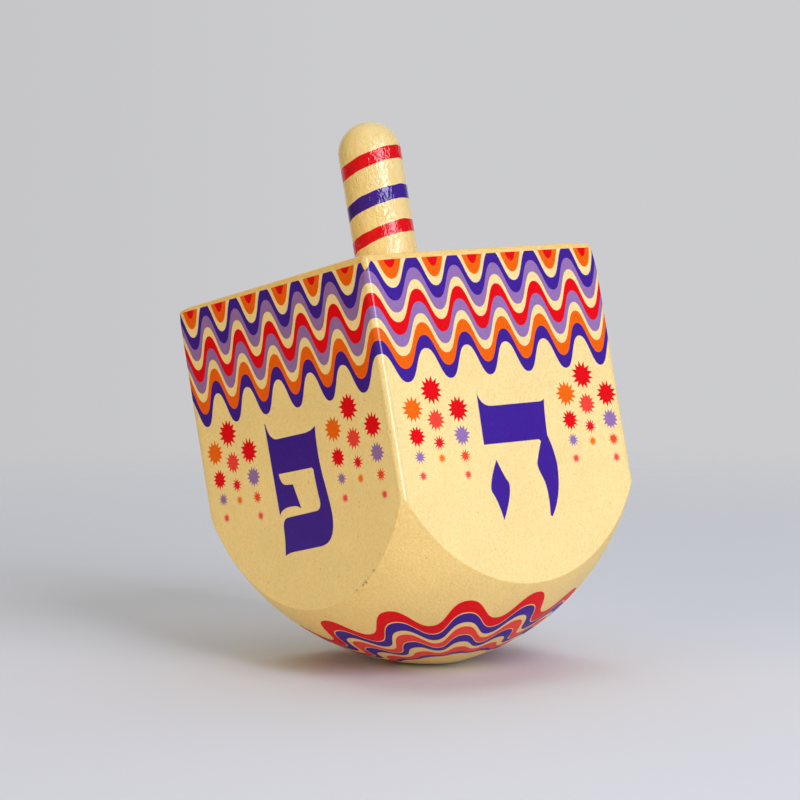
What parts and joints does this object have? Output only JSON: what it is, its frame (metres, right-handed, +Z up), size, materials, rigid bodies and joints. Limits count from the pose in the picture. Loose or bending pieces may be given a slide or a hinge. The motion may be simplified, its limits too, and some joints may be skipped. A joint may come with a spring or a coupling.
{
  "type": "dreidel",
  "caption": "Four-sided wooden spinning top with a ball-turned underside and a round dowel stem.",
  "frame": {"origin": "centre of the small worn flat on the ball's tip, which is the lowest point of the upright toy", "axes": "+Z up along the spin axis, from the tip to the stem's round end; +X, +Y, -X and -Y are the outward normals of the four flat side faces"},
  "size_m": [0.076, 0.076, 0.1378],
  "materials": {
    "body": "satin cream paint with printed bands, star bursts and letters",
    "stem": "glossy cream lacquer with painted stripes"
  },
  "bodies": {
    "root": {"body": "body", "stem": "stem"}
  },
  "joints": []
}
